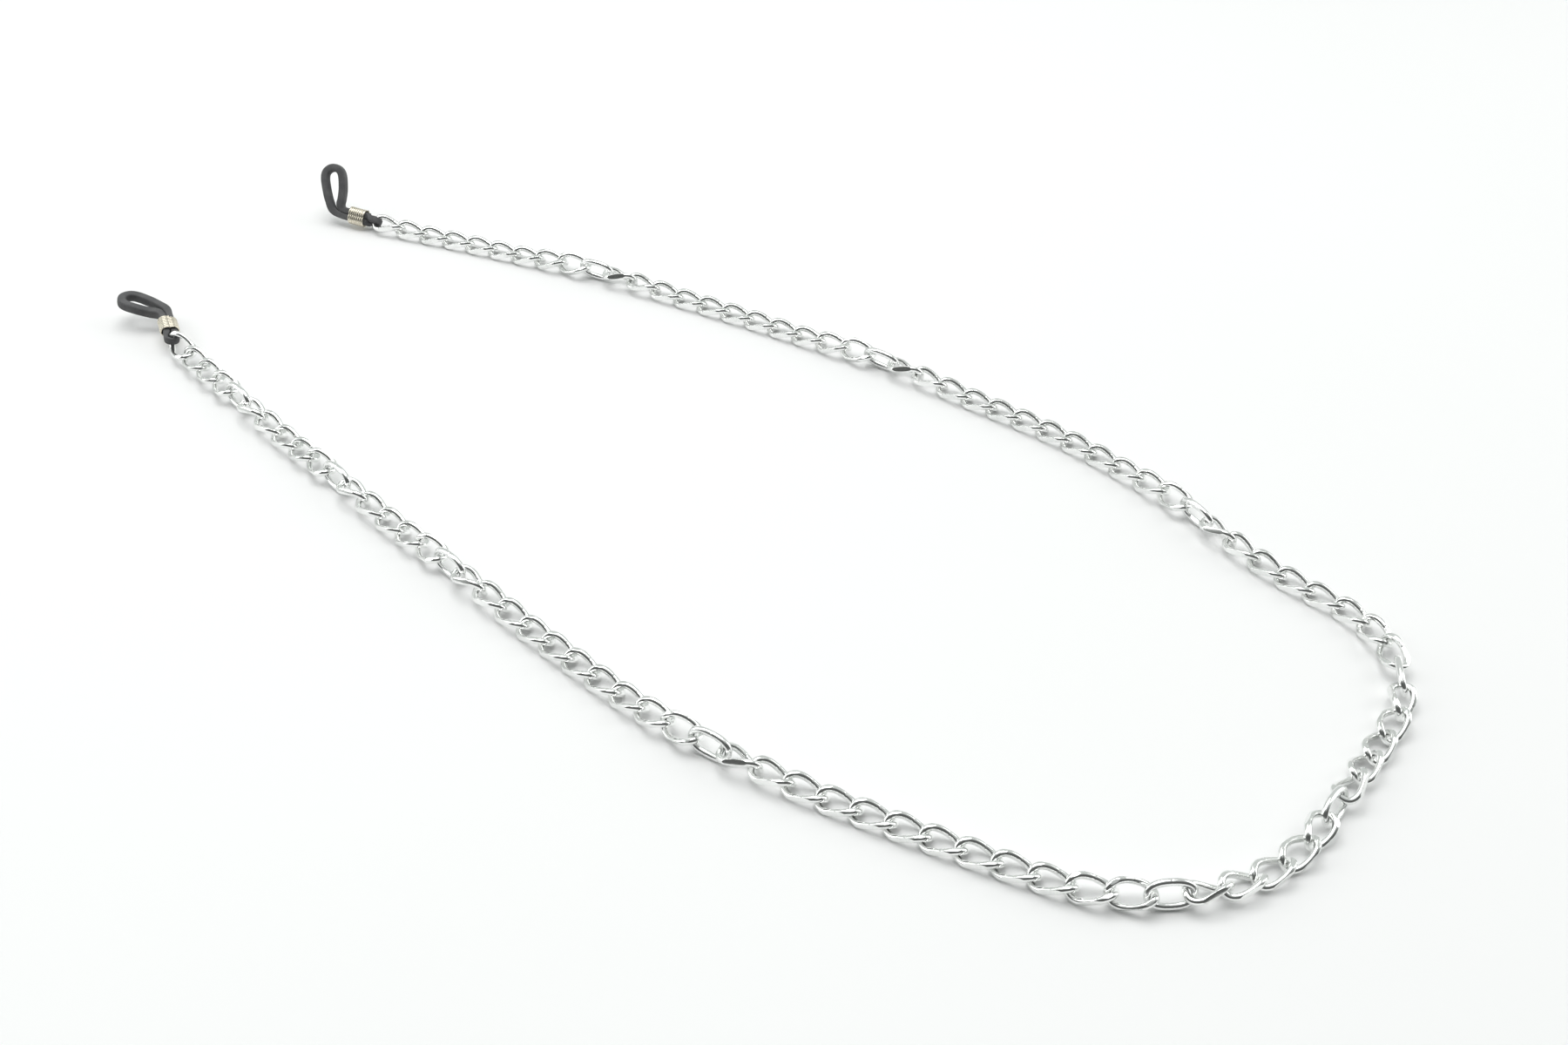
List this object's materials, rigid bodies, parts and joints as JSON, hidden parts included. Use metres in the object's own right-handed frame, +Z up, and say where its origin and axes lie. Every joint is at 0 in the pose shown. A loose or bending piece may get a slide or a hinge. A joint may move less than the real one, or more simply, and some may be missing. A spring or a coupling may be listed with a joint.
{
  "type": "eyeglass chain",
  "caption": "Eyeglass retainer: a polished curb chain with plain connecting links, laid in a U, ending in rubber temple loops with sliding wire coils.",
  "frame": {"origin": "middle of the footprint, on the surface the chain lies on", "axes": "+X across the U from its left side to its right, +Y from the bend towards the open end, +Z up"},
  "size_m": [0.298, 0.2442, 0.0144],
  "materials": {
    "curb_link": "bright polished, with flat burnished faces above, below and at the sides",
    "connecting_link": "bright polished round wire",
    "rubber": "matte black moulded rubber",
    "coil_wire": "pale gold nickel-plated wire, satin"
  },
  "bodies": {
    "run_01_links_1_to_2": {"run_01_links_1_to_2": "curb_link"},
    "run_01_links_3_to_4": {"run_01_links_3_to_4": "curb_link"},
    "run_01_links_5_to_6": {"run_01_links_5_to_6": "curb_link"},
    "run_01_links_7_to_9": {"run_01_links_7_to_9": "curb_link"},
    "connecting_link_01": {"connecting_link_01": "connecting_link"},
    "run_02_links_1_to_2": {"run_02_links_1_to_2": "curb_link"},
    "run_02_links_3_to_4": {"run_02_links_3_to_4": "curb_link"},
    "run_02_links_5_to_6": {"run_02_links_5_to_6": "curb_link"},
    "run_02_links_7_to_8": {"run_02_links_7_to_8": "curb_link"},
    "run_02_links_9_to_11": {"run_02_links_9_to_11": "curb_link"},
    "connecting_link_02": {"connecting_link_02": "connecting_link"},
    "run_03_links_1_to_2": {"run_03_links_1_to_2": "curb_link"},
    "run_03_links_3_to_4": {"run_03_links_3_to_4": "curb_link"},
    "run_03_links_5_to_6": {"run_03_links_5_to_6": "curb_link"},
    "run_03_links_7_to_8": {"run_03_links_7_to_8": "curb_link"},
    "run_03_links_9_to_10": {"run_03_links_9_to_10": "curb_link"},
    "run_03_links_11_to_12": {"run_03_links_11_to_12": "curb_link"},
    "connecting_link_03": {"connecting_link_03": "connecting_link"},
    "run_04_links_1_to_2": {"run_04_links_1_to_2": "curb_link"},
    "run_04_links_3_to_4": {"run_04_links_3_to_4": "curb_link"},
    "run_04_links_5_to_6": {"run_04_links_5_to_6": "curb_link"},
    "run_04_links_7_to_8": {"run_04_links_7_to_8": "curb_link"},
    "connecting_link_04": {"connecting_link_04": "connecting_link"},
    "run_05_links_1_to_2": {"run_05_links_1_to_2": "curb_link"},
    "run_05_links_3_to_5": {"run_05_links_3_to_5": "curb_link"},
    "connecting_link_05": {"connecting_link_05": "connecting_link"},
    "run_06_links_1_to_2": {"run_06_links_1_to_2": "curb_link"},
    "run_06_links_3_to_5": {"run_06_links_3_to_5": "curb_link"},
    "connecting_link_06": {"connecting_link_06": "connecting_link"},
    "run_07_links_1_to_2": {"run_07_links_1_to_2": "curb_link"},
    "run_07_links_3_to_4": {"run_07_links_3_to_4": "curb_link"},
    "run_07_links_5_to_6": {"run_07_links_5_to_6": "curb_link"},
    "run_07_links_7_to_8": {"run_07_links_7_to_8": "curb_link"},
    "run_07_links_9_to_10": {"run_07_links_9_to_10": "curb_link"},
    "run_07_links_11_to_12": {"run_07_links_11_to_12": "curb_link"},
    "connecting_link_07": {"connecting_link_07": "connecting_link"},
    "run_08_links_1_to_2": {"run_08_links_1_to_2": "curb_link"},
    "run_08_links_3_to_4": {"run_08_links_3_to_4": "curb_link"},
    "run_08_links_5_to_6": {"run_08_links_5_to_6": "curb_link"},
    "run_08_links_7_to_8": {"run_08_links_7_to_8": "curb_link"},
    "run_08_links_9_to_10": {"run_08_links_9_to_10": "curb_link"},
    "connecting_link_08": {"connecting_link_08": "connecting_link"},
    "run_09_links_1_to_2": {"run_09_links_1_to_2": "curb_link"},
    "run_09_links_3_to_5": {"run_09_links_3_to_5": "curb_link"},
    "connecting_link_09": {"connecting_link_09": "connecting_link"},
    "run_10_links_1_to_2": {"run_10_links_1_to_2": "curb_link"},
    "run_10_links_3_to_5": {"run_10_links_3_to_5": "curb_link"},
    "connecting_link_10": {"connecting_link_10": "connecting_link"},
    "run_11_links_1_to_2": {"run_11_links_1_to_2": "curb_link"},
    "run_11_links_3_to_4": {"run_11_links_3_to_4": "curb_link"},
    "rubber_loop_right": {"rubber_loop_right": "rubber"},
    "coil_slider_right": {"coil_slider_right": "coil_wire"},
    "rubber_loop_left": {"rubber_loop_left": "rubber"},
    "coil_slider_left": {"coil_slider_left": "coil_wire"}
  },
  "joints": [
    {"name": "bow_run_01_links_1_to_2", "type": "hinge", "parent": "run_01_links_3_to_4", "child": "run_01_links_1_to_2", "pos_m": [-0.07899, 0.10559, 0.00167], "axis": [0.3148, 0.9491, 0], "range_deg": [-23, 16]},
    {"name": "turn_run_01_links_3_to_4", "type": "hinge", "parent": "run_01_links_5_to_6", "child": "run_01_links_3_to_4", "pos_m": [-0.06576, 0.10102, 0.00167], "axis": [0, 0, -1], "range_deg": [-23, 24]},
    {"name": "bow_run_01_links_5_to_6", "type": "hinge", "parent": "run_01_links_7_to_9", "child": "run_01_links_5_to_6", "pos_m": [-0.05264, 0.09613, 0.00167], "axis": [-0.3608, -0.9326, 0], "range_deg": [-16, 23]},
    {"name": "turn_run_01_links_7_to_9", "type": "hinge", "parent": "connecting_link_01", "child": "run_01_links_7_to_9", "pos_m": [-0.03325, 0.08821, 0.00317], "axis": [0, 0, 1], "range_deg": [-20, 23]},
    {"name": "bow_connecting_link_01", "type": "hinge", "parent": "run_02_links_1_to_2", "child": "connecting_link_01", "pos_m": [-0.02684, 0.08541, 0.00317], "axis": [0.4059, 0.9139, 0], "range_deg": [-16, 23]},
    {"name": "turn_run_02_links_1_to_2", "type": "hinge", "parent": "run_02_links_3_to_4", "child": "run_02_links_1_to_2", "pos_m": [-0.01415, 0.07959, 0.00214], "axis": [0, 0, -1], "range_deg": [-23, 24]},
    {"name": "bow_run_02_links_3_to_4", "type": "hinge", "parent": "run_02_links_5_to_6", "child": "run_02_links_3_to_4", "pos_m": [-0.00159, 0.07345, 0.00167], "axis": [-0.4501, -0.893, 0], "range_deg": [-20, 20]},
    {"name": "turn_run_02_links_5_to_6", "type": "hinge", "parent": "run_02_links_7_to_8", "child": "run_02_links_5_to_6", "pos_m": [0.01084, 0.06699, 0.00167], "axis": [0, 0, 1], "range_deg": [-24, 23]},
    {"name": "bow_run_02_links_7_to_8", "type": "hinge", "parent": "run_02_links_9_to_11", "child": "run_02_links_7_to_8", "pos_m": [0.0231, 0.06024, 0.00167], "axis": [0.4932, 0.8699, 0], "range_deg": [-23, 16]},
    {"name": "turn_run_02_links_9_to_11", "type": "hinge", "parent": "connecting_link_02", "child": "run_02_links_9_to_11", "pos_m": [0.04113, 0.04958, 0.00313], "axis": [0, 0, -1], "range_deg": [-19, 20]},
    {"name": "bow_connecting_link_02", "type": "hinge", "parent": "run_03_links_1_to_2", "child": "connecting_link_02", "pos_m": [0.04706, 0.04587, 0.00313], "axis": [-0.5351, -0.8448, 0], "range_deg": [-22, 17]},
    {"name": "turn_run_03_links_1_to_2", "type": "hinge", "parent": "run_03_links_3_to_4", "child": "run_03_links_1_to_2", "pos_m": [0.05876, 0.03825, 0.00214], "axis": [0, 0, 1], "range_deg": [-24, 16]},
    {"name": "bow_run_03_links_3_to_4", "type": "hinge", "parent": "run_03_links_5_to_6", "child": "run_03_links_3_to_4", "pos_m": [0.0703, 0.03034, 0.00167], "axis": [0.5757, 0.8176, 0], "range_deg": [-20, 20]},
    {"name": "turn_run_03_links_5_to_6", "type": "hinge", "parent": "run_03_links_7_to_8", "child": "run_03_links_5_to_6", "pos_m": [0.08164, 0.02214, 0.00167], "axis": [0, 0, -1], "range_deg": [-13, 26]},
    {"name": "bow_run_03_links_7_to_8", "type": "hinge", "parent": "run_03_links_9_to_10", "child": "run_03_links_7_to_8", "pos_m": [0.0923, 0.01307, 0.00167], "axis": [-0.6845, -0.729, 0], "range_deg": [-20, 20]},
    {"name": "turn_run_03_links_9_to_10", "type": "hinge", "parent": "run_03_links_11_to_12", "child": "run_03_links_9_to_10", "pos_m": [0.10201, 0.00302, 0.00214], "axis": [0, 0, 1], "range_deg": [-26, 11]},
    {"name": "bow_run_03_links_11_to_12", "type": "hinge", "parent": "connecting_link_03", "child": "run_03_links_11_to_12", "pos_m": [0.11068, -0.00792, 0.00318], "axis": [0.8131, 0.5821, 0], "range_deg": [-16, 23]},
    {"name": "turn_connecting_link_03", "type": "hinge", "parent": "run_04_links_1_to_2", "child": "connecting_link_03", "pos_m": [0.11462, -0.01371, 0.00318], "axis": [0, 0, -1], "range_deg": [-10, 20]},
    {"name": "bow_run_04_links_1_to_2", "type": "hinge", "parent": "run_04_links_3_to_4", "child": "run_04_links_1_to_2", "pos_m": [0.12334, -0.0246, 0.00214], "axis": [-0.7466, -0.6652, 0], "range_deg": [-18, 21]},
    {"name": "turn_run_04_links_3_to_4", "type": "hinge", "parent": "run_04_links_5_to_6", "child": "run_04_links_3_to_4", "pos_m": [0.13317, -0.03454, 0.00167], "axis": [0, 0, 1], "range_deg": [-21, 9]},
    {"name": "bow_run_04_links_5_to_6", "type": "hinge", "parent": "run_04_links_7_to_8", "child": "run_04_links_5_to_6", "pos_m": [0.1425, -0.04482, 0.00214], "axis": [0.8812, 0.4727, 0], "range_deg": [-21, 18]},
    {"name": "turn_run_04_links_7_to_8", "type": "hinge", "parent": "connecting_link_04", "child": "run_04_links_7_to_8", "pos_m": [0.14589, -0.05826, 0.00307], "axis": [0, 0, -1], "range_deg": [-7, 30]},
    {"name": "bow_connecting_link_04", "type": "hinge", "parent": "run_05_links_1_to_2", "child": "connecting_link_04", "pos_m": [0.14507, -0.06521, 0.00307], "axis": [-0.9711, 0.2385, 0], "range_deg": [-22, 17]},
    {"name": "turn_run_05_links_1_to_2", "type": "hinge", "parent": "run_05_links_3_to_5", "child": "run_05_links_1_to_2", "pos_m": [0.13861, -0.07747, 0.00214], "axis": [0, 0, 1], "range_deg": [-24, 8]},
    {"name": "bow_run_05_links_3_to_5", "type": "hinge", "parent": "connecting_link_05", "child": "run_05_links_3_to_5", "pos_m": [0.12622, -0.09439, 0.00304], "axis": [0.796, -0.6053, 0], "range_deg": [-12, 15]},
    {"name": "turn_connecting_link_05", "type": "hinge", "parent": "run_06_links_1_to_2", "child": "connecting_link_05", "pos_m": [0.12195, -0.09993, 0.00304], "axis": [0, 0, -1], "range_deg": [-8, 24]},
    {"name": "bow_run_06_links_3_to_5", "type": "hinge", "parent": "run_06_links_1_to_2", "child": "run_06_links_3_to_5", "pos_m": [0.11246, -0.11011, 0.00214], "axis": [-0.61, 0.7924, 0], "range_deg": [-25, 14]},
    {"name": "turn_connecting_link_06", "type": "hinge", "parent": "run_06_links_3_to_5", "child": "connecting_link_06", "pos_m": [0.09341, -0.1184, 0.00304], "axis": [0, 0, 1], "range_deg": [-8, 20]},
    {"name": "bow_run_07_links_1_to_2", "type": "hinge", "parent": "connecting_link_06", "child": "run_07_links_1_to_2", "pos_m": [0.08643, -0.11897, 0.00304], "axis": [0, -1, 0], "range_deg": [-22, 17]},
    {"name": "turn_run_07_links_3_to_4", "type": "hinge", "parent": "run_07_links_1_to_2", "child": "run_07_links_3_to_4", "pos_m": [0.0727, -0.1167, 0.00214], "axis": [0, 0, -1], "range_deg": [-33, 10]},
    {"name": "bow_run_07_links_5_to_6", "type": "hinge", "parent": "run_07_links_3_to_4", "child": "run_07_links_5_to_6", "pos_m": [0.05989, -0.11108, 0.00167], "axis": [0.4083, 0.9128, 0], "range_deg": [-20, 20]},
    {"name": "turn_run_07_links_7_to_8", "type": "hinge", "parent": "run_07_links_5_to_6", "child": "run_07_links_7_to_8", "pos_m": [0.04715, -0.10527, 0.00167], "axis": [0, 0, 1], "range_deg": [-11, 24]},
    {"name": "bow_run_07_links_9_to_10", "type": "hinge", "parent": "run_07_links_7_to_8", "child": "run_07_links_9_to_10", "pos_m": [0.0345, -0.09929, 0.00167], "axis": [-0.4337, -0.9011, 0], "range_deg": [-20, 20]},
    {"name": "turn_run_07_links_11_to_12", "type": "hinge", "parent": "run_07_links_9_to_10", "child": "run_07_links_11_to_12", "pos_m": [0.02194, -0.09314, 0.00214], "axis": [0, 0, -1], "range_deg": [-24, 13]},
    {"name": "bow_connecting_link_07", "type": "hinge", "parent": "run_07_links_11_to_12", "child": "connecting_link_07", "pos_m": [0.00965, -0.08653, 0.00317], "axis": [0.5203, 0.854, 0], "range_deg": [-16, 23]},
    {"name": "turn_run_08_links_1_to_2", "type": "hinge", "parent": "connecting_link_07", "child": "run_08_links_1_to_2", "pos_m": [0.00377, -0.08273, 0.00317], "axis": [0, 0, 1], "range_deg": [-15, 27]},
    {"name": "bow_run_08_links_3_to_4", "type": "hinge", "parent": "run_08_links_1_to_2", "child": "run_08_links_3_to_4", "pos_m": [-0.0073, -0.07423, 0.00214], "axis": [-0.6515, -0.7587, 0], "range_deg": [-18, 21]},
    {"name": "turn_run_08_links_5_to_6", "type": "hinge", "parent": "run_08_links_3_to_4", "child": "run_08_links_5_to_6", "pos_m": [-0.01764, -0.06482, 0.00167], "axis": [0, 0, -1], "range_deg": [-24, 17]},
    {"name": "bow_run_08_links_7_to_8", "type": "hinge", "parent": "run_08_links_5_to_6", "child": "run_08_links_7_to_8", "pos_m": [-0.02793, -0.05532, 0.00167], "axis": [0.6807, 0.7325, 0], "range_deg": [-20, 20]},
    {"name": "turn_run_08_links_9_to_10", "type": "hinge", "parent": "run_08_links_7_to_8", "child": "run_08_links_9_to_10", "pos_m": [-0.03814, -0.04577, 0.00214], "axis": [0, 0, 1], "range_deg": [-22, 24]},
    {"name": "bow_connecting_link_08", "type": "hinge", "parent": "run_08_links_9_to_10", "child": "connecting_link_08", "pos_m": [-0.04826, -0.03616, 0.0032], "axis": [-0.6909, -0.723, 0], "range_deg": [-23, 16]},
    {"name": "turn_run_09_links_1_to_2", "type": "hinge", "parent": "connecting_link_08", "child": "run_09_links_1_to_2", "pos_m": [-0.05331, -0.03131, 0.0032], "axis": [0, 0, -1], "range_deg": [-24, 23]},
    {"name": "bow_run_09_links_3_to_5", "type": "hinge", "parent": "run_09_links_1_to_2", "child": "run_09_links_3_to_5", "pos_m": [-0.06334, -0.0216, 0.00214], "axis": [0.6984, 0.7157, 0], "range_deg": [-25, 14]},
    {"name": "turn_connecting_link_09", "type": "hinge", "parent": "run_09_links_3_to_5", "child": "connecting_link_09", "pos_m": [-0.07826, -0.00688, 0.00315], "axis": [0, 0, 1], "range_deg": [-23, 19]},
    {"name": "bow_run_10_links_1_to_2", "type": "hinge", "parent": "connecting_link_09", "child": "run_10_links_1_to_2", "pos_m": [-0.08321, -0.00193, 0.00315], "axis": [-0.7083, -0.7059, 0], "range_deg": [-23, 16]},
    {"name": "turn_run_10_links_3_to_5", "type": "hinge", "parent": "run_10_links_1_to_2", "child": "run_10_links_3_to_5", "pos_m": [-0.09303, 0.00799, 0.00214], "axis": [0, 0, -1], "range_deg": [-24, 23]},
    {"name": "bow_connecting_link_10", "type": "hinge", "parent": "run_10_links_3_to_5", "child": "connecting_link_10", "pos_m": [-0.10765, 0.02302, 0.00318], "axis": [0.7206, 0.6934, 0], "range_deg": [-16, 23]},
    {"name": "turn_run_11_links_1_to_2", "type": "hinge", "parent": "connecting_link_10", "child": "run_11_links_1_to_2", "pos_m": [-0.11249, 0.02807, 0.00318], "axis": [0, 0, 1], "range_deg": [-23, 24]},
    {"name": "bow_run_11_links_3_to_4", "type": "hinge", "parent": "run_11_links_1_to_2", "child": "run_11_links_3_to_4", "pos_m": [-0.12212, 0.03822, 0.00285], "axis": [-0.7278, -0.6858, 0], "range_deg": [-19, 20]},
    {"name": "swing_rubber_loop_right", "type": "hinge", "parent": "run_01_links_1_to_2", "child": "rubber_loop_right", "pos_m": [-0.09306, 0.11006, 0.00272], "axis": [0.2923, 0.7773, 0.5571], "range_deg": [-35, 35]},
    {"name": "slide_coil_right", "type": "slide", "parent": "rubber_loop_right", "child": "coil_slider_right", "axis": [-0.9512, 0.2963, 0.0857], "range_m": [0, 0.0016]},
    {"name": "swing_rubber_loop_left", "type": "hinge", "parent": "run_11_links_3_to_4", "child": "rubber_loop_left", "pos_m": [-0.1322, 0.04899, 0.00384], "axis": [-0.2038, -0.0361, -0.9784], "range_deg": [-35, 35]},
    {"name": "slide_coil_left", "type": "slide", "parent": "rubber_loop_left", "child": "coil_slider_left", "axis": [-0.395, 0.9174, 0.0484], "range_m": [0, 0.0016]}
  ]
}
